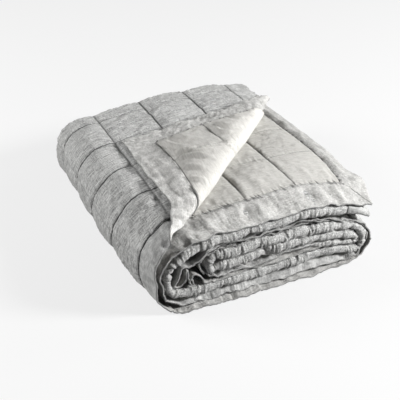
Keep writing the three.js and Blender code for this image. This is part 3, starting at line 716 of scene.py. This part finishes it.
def on_surface(s, t, side, half, lift):
    """Place of one side of the cloth."""
    return place(s, t) + normals(s, t) * (side * half(s, t, side) + lift(s, t))[:, None]


def closed_sheet(name, sheet, want_face, want_back, warp, half, lift, materials):
    """Face, reverse and rim of one piece of cloth."""
    points, polys, uvs, marks, rims, start = [], [], [], [], [], 0
    ends = sheet.shape[0] - 1, sheet.shape[1] - 1
    for side, want in ((1, want_face), (-1, want_back)):
        ij, faces = sheet.faces(sheet.cells(want))
        s, t = warp(sheet.s0 + ij[:, 0] * sheet.us, sheet.t0 + ij[:, 1] * sheet.ut)
        p = on_surface(s, t, side, half, lift)
        p[:, 2] = np.maximum(p[:, 2], 0.0)
        points.append(to_frame(p))
        uvs.append(np.stack([(EDGE_S + s + (BACK_S if side < 0 else 0)) / UV_S, (EDGE_T + t) / UV_T], -1))
        corner = (s < CORNER_WIDTH) & (t < CORNER_RUN)
        for f in faces:
            marks.append(0 if side > 0 else len(materials) - 1 if corner[f[0]] else 1)
            f = [start + k for k in f]
            polys.append(f if side > 0 else f[::-1])
        rim = {}
        for k, (a, b) in enumerate(ij.tolist()):
            if a in (0, ends[0]) or b in (0, ends[1]):
                rim[(a, b)] = start + k
        rims.append(rim)
        start += len(ij)
    a, b = rims
    shared = [k for k in a if k in b]
    sides = [sorted(k for k in shared if k[1] == 0),
             sorted(k for k in shared if k[0] == ends[0]),
             sorted((k for k in shared if k[1] == ends[1]), reverse=True),
             sorted((k for k in shared if k[0] == 0), reverse=True)]
    for run in sides:
        for p, q in zip(run, run[1:]):
            polys.append([a[q], a[p], b[p], b[q]])
            marks.append(0)
    return mesh_object(name, np.concatenate(points), polys, np.concatenate(uvs), marks, materials)


# sizes of the cloth's cells, mm
FINEST, FINE, MEDIUM, HIDDEN, COARSE = 1.6, 3.2, 6.3, 12.5, 25.0


def bend_size(t):
    """Cells that follow the bends of the roll."""
    e = 8.0
    a0, a1 = np.interp(t - e, RUN, ROLL_AX), np.interp(t + e, RUN, ROLL_AX)
    b0, b1 = np.interp(t - e, RUN, ROLL_AZ), np.interp(t + e, RUN, ROLL_AZ)
    turn = np.abs(np.arctan2(a0 * b1 - b0 * a1, a0 * a1 + b0 * b1)) / (2 * e)
    return np.clip(0.22 / np.maximum(turn, 1e-4), 4.0, COARSE)


LOOSE = (1290, 1520)      # t of the loose loops


def at_most(sizes, where, size):
    return np.where(where, np.minimum(sizes, size), sizes)


def rim_size(v):
    return np.where((v < 720) | ((v > LOOSE[0]) & (v < LOOSE[1])), FINE, MEDIUM)


def panel_want(side):
    def want(s0, s1, t0, t1):
        s, t = (s0 + s1) / 2, (t0 + t1) / 2
        ws, wt = np.full(len(s), COARSE), bend_size(t)
        if side > 0:
            covered = (s1 <= 315) & (t1 <= 315)
            fine = (s < ENDS[0]) & (t < 590) & ~covered
            ws, wt = np.where(covered, HIDDEN, ws), np.where(covered, HIDDEN, wt)
        else:
            fine = (s > ENDS[5]) & (t < 430)
            if fine.any():
                d = corner_distance(t[fine] - 30, fold_in_four(s[fine])[0])[0]
                fine[np.flatnonzero(fine)] = d > -40 - (s1 - s0)[fine]
            c = (s0 < 440) & (t0 < 460)
            if c.any():
                d = corner_distance(np.clip(t[c], 0, 500), s[c])[0]
                fine[np.flatnonzero(c)[d > -6 - (s1 - s0)[c]]] = True
        ws, wt = np.where(fine, FINE, ws), np.where(fine, FINE, wt)
        gs, gt = np.abs(seam_gap(s)[0]), np.abs(seam_gap(t)[0])
        half = (s1 - s0) / 2
        ws = np.where(fine & (gs < 4 + half), FINEST, ws)
        wt = np.where(fine & (gt < 4 + (t1 - t0) / 2), FINEST, wt)
        if side > 0:
            band = np.abs(s - FRONT_FOLD) < 24 + half
            ws, wt = np.where(band, FINE, ws), np.where(band, FINEST, wt)
        tight = (np.abs(s - FRONT_FOLD) < 14 + half) | (np.abs(s - INNER_FOLD) < 14 + half)
        ws = at_most(ws, tight, FINE)
        back = np.abs(s - BACK_FOLD) < 28 + half
        ws = at_most(ws, back, MEDIUM)
        if side > 0:
            wt = at_most(wt, back, MEDIUM)
        loops = (s0 < 120) & (t > LOOSE[0]) & (t < LOOSE[1])
        ws, wt = at_most(ws, loops, MEDIUM), at_most(wt, loops, FINE)
        wt = np.where((s0 <= BORDER) | (s1 >= FLAT - BORDER), rim_size(t), wt)
        ws = np.where((t0 <= BORDER) | (t1 >= FLAT - BORDER), FINE, ws)
        return ws, wt
    return want


def border_want(along_t):
    def want(s0, s1, t0, t1):
        fine = np.full(len(s0), FINE)
        return fine, rim_size((t0 + t1) / 2) if along_t else fine
    return want


GAP = 0.3                 # left between the pieces of cloth


def mitre(run, depth):
    """Place along a border whose ends are cut at 45 degrees."""
    zone, inset = BORDER + SQUARE, depth + GAP
    low = inset + (run - BORDER) * (zone - inset) / SQUARE
    high = FLAT - inset - (FLAT - BORDER - run) * (zone - inset) / SQUARE
    return np.where(run < zone, low, np.where(run > FLAT - zone, high, run))


def border_half(s, t, side):
    e = edge_gap(s, t)
    return SEAM_HALF + 0.8 * bump(e, 0.5, 2.5) + 0.3 * bump(e, BORDER, 3.0)


# sewn lines that show: side, s and t of one end, s and t of the other
LINES = [BORDER + SQUARE * k for k in range(20)]
QUILTED = ([(1, 52, line, 480, line) for line in LINES[1:7]] + [(1, line, 52, line, 640) for line in LINES[1:5]]
           + [(-1, 1520, line, 1948, line) for line in LINES[1:4]]
           + [(-1, line, 52, line, TOP_END) for line in LINES[15:19]]
           + [(-1, 52, line, 250, line) for line in LINES[1:3]] + [(-1, line, 52, line, 250) for line in LINES[1:3]])
HEMMED = [(-1, 47, 62, 47, 300), (-1, 62, 47, 300, 47), (-1, 1953, 62, 1953, 420), (-1, 1560, 47, 1938, 47),
          (1, 47, 330, 47, 640), (1, 330, 47, 480, 47)]
STITCH = 3.3
THREAD = (1.25, 0.42, 0.42, 0.15)     # half length, half width, half height, rise over the cloth


def stitching(name, rows, thread):
    """Stitches along the sewn lines, each a small bead of thread."""
    points, polys, uvs = [], [], []
    shape = np.array([(-1, 0, 0), (0, -1, 0), (1, 0, 0), (0, 1, 0), (0, 0, 1), (0, 0, -1)], float)
    for (side, s0, t0, s1, t1), half, lift in rows:
        count = int(math.hypot(s1 - s0, t1 - t0) / STITCH)
        u = (np.arange(count) + 0.5) / count
        s, t = s0 + (s1 - s0) * u, t0 + (t1 - t0) * u
        face, reverse, flap = shown_sides(s, t)
        keep = (face if side > 0 else np.where(s < CORNER_WIDTH, flap * (s + t < 300), reverse)) > 0.9
        s, t = s[keep], t[keep]
        if not len(s):
            continue
        ds, dt = (0.8, 0.0) if s1 != s0 else (0.0, 0.8)
        at = on_surface(s, t, side, half, lift)
        ahead = on_surface(s + ds, t + dt, side, half, lift) - on_surface(s - ds, t - dt, side, half, lift)
        ahead /= np.linalg.norm(ahead, axis=1)[:, None]
        up = side * normals(s, t)
        up -= (up * ahead).sum(1)[:, None] * ahead
        up /= np.linalg.norm(up, axis=1)[:, None]
        wide = np.cross(up, ahead)
        for c, a, w, n in zip(to_frame(at), ahead, wide, up):
            k = len(points) * 6
            points.append(c + THREAD[3] * n + shape @ np.stack([THREAD[0] * a, THREAD[1] * w, THREAD[2] * n]))
            uvs.append(0.5 + 0.45 * shape[:, :2])
            polys += [[k + i, k + (i + 1) % 4, k + 4] for i in range(4)]
            polys += [[k + (i + 1) % 4, k + i, k + 5] for i in range(4)]
    return mesh_object(name, np.concatenate(points), polys, np.concatenate(uvs), [0] * len(polys), [thread])


# materials
def material(name):
    m = bpy.data.materials.new(name)
    m.use_nodes = True
    tree = m.node_tree
    tree.nodes.clear()
    shader = tree.nodes.new("ShaderNodeBsdfPrincipled")
    tree.links.new(shader.outputs[0], tree.nodes.new("ShaderNodeOutputMaterial").inputs[0])
    return m, tree, shader


# places in the UV map, mm
END_SEAM, INNER_SEAM = EDGE_T + BORDER, BACK_S + EDGE_S + FLAT - BORDER
OUTER_BACK, INNER_BACK, INNER_HEM = (2280.0, 2281.0), (4160.0, 4161.0), (4165.0, 4166.0)
SEWN = (0.9, 2.6)                       # from a sewn line, where its painted shade fades
ROLL_HIGHLIGHT, BORDER_HIGHLIGHT = 0.28, 0.2        # painted highlight: how much lighter the cloth is painted over the roll and where the turned border runs out


def set_inputs(node, values):
    """Set a node's inputs, or link them where an output is given."""
    for key, value in values.items():
        if isinstance(value, bpy.types.NodeSocket):
            node.id_data.links.new(value, node.inputs[key])
        else:
            node.inputs[key].default_value = value


def add_node(tree, kind, inputs=(), **settings):
    """A shader node with its settings and inputs."""
    node = tree.nodes.new("ShaderNode" + kind)
    for key, value in settings.items():
        setattr(node, key, value)
    set_inputs(node, dict(inputs))
    return node


def ramp_colour(tree, value, dark, light, low=0.0, high=1.0):
    """Colour that goes from dark to light as value goes from low to high."""
    ramp = add_node(tree, "ValToRGB", {0: value})
    for element, colour, at in zip(ramp.color_ramp.elements, (dark, light), (low, high)):
        element.color = (*colour, 1)
        element.position = at
    return ramp.outputs[0]


def wave_node(tree, vector, scale, distortion, detail, axis):
    values = {"Vector": vector, "Scale": scale, "Distortion": distortion, "Detail": detail}
    return add_node(tree, "TexWave", values, wave_type="BANDS", bands_direction=axis).outputs["Fac"]


def linen(name, dark, light, streak, speck, weave, sheen, crumple, long, lines, ticks):
    """Woven linen laid out in the flat cloth's own millimetres.

    streak is the spread of its yarn colours, speck its fine mottling, weave the yarns' pitch, crumple the
    height of its creases and long the length of its slubs. lines says which sewn lines show, and ticks
    where a gathered seam runs."""
    m, tree, shader = material(name)

    def scaled(vector, scale):
        return add_node(tree, "VectorMath", {0: vector, 1: (*scale, 0.0)}, operation="MULTIPLY").outputs[0]

    flat = scaled(add_node(tree, "UVMap", uv_map=UV_NAME).outputs[0], (UV_S, UV_T))

    def spots(vector, detail, rough):
        values = {"Vector": vector, "Scale": 1.0, "Detail": detail, "Roughness": rough}
        return add_node(tree, "TexNoise", values, noise_dimensions="2D").outputs["Fac"]

    def noise(scale, detail, rough=0.55):
        return spots(scaled(flat, scale), detail, rough)

    def math_node(op, a, b):
        return add_node(tree, "Math", {0: a, 1: b}, operation=op).outputs[0]

    def mul(a, b):
        return math_node("MULTIPLY", a, b)

    def add(a, b):
        return math_node("ADD", a, b)

    def less(a, b):
        return math_node("SUBTRACT", a, b)

    def times(a, b):
        return mul(a, b) if a else b

    def between(value, low, high, first, last):
        values = {"Value": value, "From Min": low, "From Max": high, "To Min": first, "To Max": last}
        return add_node(tree, "MapRange", values, interpolation_type="SMOOTHSTEP").outputs["Result"]

    place_s, place_t, _ = add_node(tree, "SeparateXYZ", {0: flat}).outputs
    warp_yarn, weft_yarn = noise((0.5, long), 2.0), noise((1.4 * long, 0.5), 2.0)
    cloud = noise((0.012, 0.012) if lines else (0.045, 0.06), 2.0)
    fine = noise((0.36, 0.36), 3.0, 0.8)
    mixed = add(mul(warp_yarn, 0.7), mul(weft_yarn, 0.3))
    band = between(math_node("ABSOLUTE", less(place_s, FRONT_FOLD + EDGE_S), 0.0), 14.0, 48.0, 1.0, 0.0)
    mixed = add(mixed, mul(less(fine, mixed), mul(band, 0.6)))
    mixed = add(mixed, mul(less(fine, 0.5), speck))
    mixed = add(mixed, mul(less(cloud, 0.5), 0.15 if lines else 0.8))
    yarns = ramp_colour(tree, mixed, dark, light, 0.5 - streak, 0.5 + streak)
    across = math_node("PINGPONG", less(place_s, EDGE_S + BORDER), SQUARE / 2)
    down = math_node("PINGPONG", less(place_t, END_SEAM), SQUARE / 2)
    outer_side = (place_s, *OUTER_BACK, 1.0, 0.0)
    tone = None
    if lines:
        # painted shade: the cloth is darkened along the sewn lines for the shade in their grooves, most where they run
        # over a fold
        groove_shade_s, groove_shade_t = 0.2, 0.55
        if lines == "reverse":
            groove_shade_s = between(place_s, *INNER_BACK, 0.2, 0.0)
        elif lines == "face":
            groove_shade_s = between(place_t, 311.0, 391.0, 0.22, 0.85)
            groove_shade_t = mul(between(place_t, 300.0, 400.0, 0.7, 0.12), less(1.0, band))
        elif lines == "corner":
            open_part = between(add(place_s, place_t), 2485.0, 2555.0, 1.0, 0.0)
            groove_shade_s = math_node("MAXIMUM", mul(open_part, 0.5), between(place_s, *OUTER_BACK, 0.5, 0.0))
            groove_shade_t = mul(open_part, 0.16)
        tone = mul(less(1.0, mul(between(across, *SEWN, 1.0, 0.0), groove_shade_s)),
                   less(1.0, mul(between(down, *SEWN, 1.0, 0.0), groove_shade_t)))
        if lines == "corner":
            # painted highlight: the cloth is painted lighter over the roll
            tone = mul(tone, less(1.0 + ROLL_HIGHLIGHT, mul(open_part, ROLL_HIGHLIGHT)))
    tuck = None
    if ticks:
        # short slanted tucks along a gathered seam
        axis, at = ticks
        over, along_seam = (place_s, place_t) if axis == "s" else (place_t, place_s)
        slant = add_node(tree, "CombineXYZ", {0: mul(over, 0.03), 1: mul(add(along_seam, mul(over, 0.55)), 0.15)})
        marks = spots(slant.outputs[0], 1.0, 0.5)
        near = between(math_node("ABSOLUTE", less(over, at), 0.0), 0.5, 7.5, 1.0, 0.0)
        tuck = mul(near, between(marks, 0.52, 0.64, 0.0, 1.0))
        # painted shade: the tucks are darkened in colour as well as cut into the relief
        tone = times(tone, less(1.0, mul(tuck, 0.62)))
    # little light reaches the cloth inside the loose loops and between the first two layers
    inside = math_node("MODULO", less(place_s, EDGE_S), BACK_S)
    inside = mul(between(inside, 3.0, 14.0, 0.0, 0.75), between(inside, 170.0, 230.0, 1.0, 0.0))
    inside = mul(inside, mul(between(place_t, 1311.0, 1341.0, 0.0, 1.0), between(place_t, 1500.0, 1526.0, 1.0, 0.0)))
    if ticks and ticks[0] == "s" and not lines:
        slot = mul(between(place_t, 396.0, 496.0, 0.0, 0.65), between(place_s, *INNER_HEM, 0.0, 1.0))
        low = mul(between(place_t, 560.0, 600.0, 0.0, 0.2), between(*outer_side))
        inside = math_node("MAXIMUM", inside, math_node("MAXIMUM", slot, low))
    dim = less(1.0, inside)
    if ticks and not lines:
        # painted highlight: the cloth is painted lighter where the turned border runs out
        border_highlight_zone = mul(between(place_t, 170.0, 290.0, 0.0, 1.0), between(place_t, 440.0, 500.0, 1.0, 0.0))
        dim = mul(dim, add(1.0, mul(mul(border_highlight_zone, between(*outer_side)), BORDER_HIGHLIGHT)))
    tone = times(tone, dim)
    shade = add_node(tree, "Mix", {"Factor": 1.0, "A": yarns, "B": tone}, data_type="RGBA", blend_type="MULTIPLY")
    cloth = math_node("MAXIMUM", *(wave_node(tree, flat, weave, 1.2, 1.0, axis) for axis in "XY"))
    crease = noise((0.11, 0.06), 3.0, 0.6)
    height = add(mul(cloth, 0.12), mul(mixed, 0.22))
    height = add(height, mul(crease, crumple))
    # short gathers over the folds, the hems and beside the sewn lines
    gathers = noise((0.05, 0.3), 2.0, 0.6)
    if lines:
        height = add(height, mul(gathers, mul(band, 1.7)))
        for line, scale in ((across, (0.03, 0.17)), (down, (0.17, 0.03))):
            height = add(height, mul(noise(scale, 1.0), between(line, 1.0, 17.0, 3.4, 0.0)))
    else:
        height = add(height, mul(gathers, 1.2))
    if tuck:
        height = less(height, mul(tuck, 3.0))
    relief = add_node(tree, "Bump", {"Strength": 0.8, "Distance": 0.001, "Height": height})
    set_inputs(shader, {"Base Color": shade.outputs["Result"], "Normal": relief.outputs[0], "Roughness": 0.92,
                        "Specular IOR Level": 0.2, "Sheen Weight": sheen, "Sheen Roughness": 0.5})
    return m


# dark and light yarn, streak, speck, weave, sheen, crumple, long
FACE = (0.25, 0.25, 0.245), (0.63, 0.63, 0.617), 0.145, 0.5, 0.55, 0.15, 2.4, 0.05
PALE = (0.42, 0.41, 0.385), (0.62, 0.61, 0.58), 0.3, 0.2, 0.7, 0.12, 2.0, 0.06
BORDER_FACE = (0.34, 0.34, 0.334), (0.58, 0.58, 0.568), 0.2, 0.6, 0.55, 0.15, 2.6, 0.1
BORDER_BACK = (0.36, 0.355, 0.342), (0.64, 0.635, 0.615), 0.24, 0.6, 0.55, 0.15, 2.6, 0.14
face_linen = linen("chambray_linen", *FACE, "face", None)
back_linen = linen("pale_linen", *PALE, "reverse", ("s", INNER_SEAM))
turn_linen = linen("pale_linen_corner", *PALE, "corner", ("t", END_SEAM))
border_linen = linen("border_linen", *BORDER_FACE, "", None)
side_linen = linen("border_linen_side", *BORDER_BACK, "", ("s", INNER_SEAM))
end_linen = linen("border_linen_end", *BORDER_BACK, "", ("t", END_SEAM))


def twisted_thread():
    """Thread of the stitches."""
    m, tree, shader = material("linen_thread")
    uv = add_node(tree, "UVMap", uv_map=UV_NAME).outputs[0]
    twist = wave_node(tree, uv, 2.0, 1.0, 2.0, "DIAGONAL")
    relief = add_node(tree, "Bump", {"Strength": 0.4, "Distance": 0.0002, "Height": twist})
    set_inputs(shader, {"Base Color": ramp_colour(tree, twist, (0.17, 0.17, 0.165), (0.3, 0.3, 0.29)),
                        "Normal": relief.outputs[0], "Roughness": 0.85, "Sheen Weight": 0.2})
    return m


# the cloth
SQUARES = 19
panel = closed_sheet("bedspread_panel", Sheet(BORDER, BORDER, SQUARES, SQUARES, SQUARE, SQUARE, 64),
                     panel_want(1), panel_want(-1), lambda s, t: (s, t), quilt, quilt_lift,
                     [face_linen, back_linen, turn_linen])


def border(node, start, along_t):
    """One border, along t or s, that starts at a distance from the cloth's first edge."""
    wide = BORDER - GAP
    if along_t:
        sheet = Sheet(start, BORDER, 1, SQUARES, wide, SQUARE, 32)
        warp = lambda s, t: (s, mitre(t, np.minimum(s, FLAT - s)))
    else:
        sheet = Sheet(BORDER, start, SQUARES, 1, SQUARE, wide, 32)
        warp = lambda s, t: (mitre(s, np.minimum(t, FLAT - t)), t)
    want = border_want(along_t)
    return closed_sheet("bedspread_" + node, sheet, want, want, warp, border_half, border_lift,
                        [border_linen, side_linen if along_t else end_linen])


pieces = {"quilted_panel": panel}
for node, start, along_t in (("border_side_outer", 0.0, True), ("border_side_inner", FLAT - BORDER + GAP, True),
                             ("border_end_outer", 0.0, False), ("border_end_inner", FLAT - BORDER + GAP, False)):
    pieces[node] = border(node, start, along_t)
for node, piece in pieces.items():
    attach(piece, "root")
    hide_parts(node)
stitches = stitching("bedspread_stitching", [(row, quilt, quilt_lift) for row in QUILTED]
                     + [(row, border_half, border_lift) for row in HEMMED], twisted_thread())
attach(stitches, "root")


# floor, light and camera
FLOOR_SIZE = 60.0


def floor_plane(name, level, colour, glow):
    bpy.ops.mesh.primitive_plane_add(size=FLOOR_SIZE, location=(0, 0, level))
    obj = bpy.context.object
    obj.name = name
    m, _, shader = material(name)
    set_inputs(shader, {"Base Color": (colour, colour, colour, 1), "Emission Color": (1, 1, 1, 1),
                        "Emission Strength": glow, "Roughness": 0.9, "Specular IOR Level": 0.0})
    obj.data.materials.append(m)
    return obj


# the camera sees the floor, and the ground just below it lights the cloth
floor = floor_plane("floor", -0.0002, 0.18, 0.735)
floor.visible_diffuse = floor.visible_glossy = floor.visible_shadow = False
ground = floor_plane("ground", -0.0008, 0.3, 0.0)
ground.visible_camera = False

world = bpy.data.worlds.new("studio")
bpy.context.scene.world = world
world.use_nodes = True
set_inputs(world.node_tree.nodes["Background"], {0: (1, 1, 1, 1), 1: 0.05})


LIGHT_AIM = (0, 0, 0.1)


def area_light(name, place_m, size, power):
    data = bpy.data.lights.new(name, "AREA")
    data.shape = "DISK"
    data.size = size
    data.energy = power
    obj = bpy.data.objects.new(name, data)
    obj.location = place_m
    obj.rotation_euler = (Vector(LIGHT_AIM) - Vector(place_m)).to_track_quat("-Z", "Y").to_euler()
    bpy.context.scene.collection.objects.link(obj)


area_light("key", (1.83, -1.3, 1.35), 0.6, 98)
area_light("rake", (2.25, 0.0, 1.35), 0.7, 8)
area_light("fill", (-1.95, 0.75, 1.2), 1.2, 45)

# camera: degrees, mm, and its focal length in pixels of the 400 pixel frame
AZIMUTH, ELEVATION, DISTANCE, FOCAL = -23.28, 34.82, 1759.5, 881.88
FRAME, SENSOR = 400.0, 36.0
TARGET = (201.03 - CENTRE[0], 250.0 - CENTRE[1], 39.36)
a, e = math.radians(AZIMUTH), math.radians(ELEVATION)
back = Vector((math.sin(a) * math.cos(e), -math.cos(a) * math.cos(e), math.sin(e)))
camera = bpy.data.cameras.new("camera")
camera.sensor_width = SENSOR
camera.lens = FOCAL / FRAME * SENSOR
camera.clip_end = 50.0
camera_object = bpy.data.objects.new("camera", camera)
camera_object.location = (Vector(TARGET) + back * DISTANCE) * MM
camera_object.rotation_euler = (-back).to_track_quat("-Z", "Y").to_euler()
bpy.context.scene.collection.objects.link(camera_object)
bpy.context.scene.camera = camera_object
bpy.context.scene.view_settings.view_transform = "Standard"
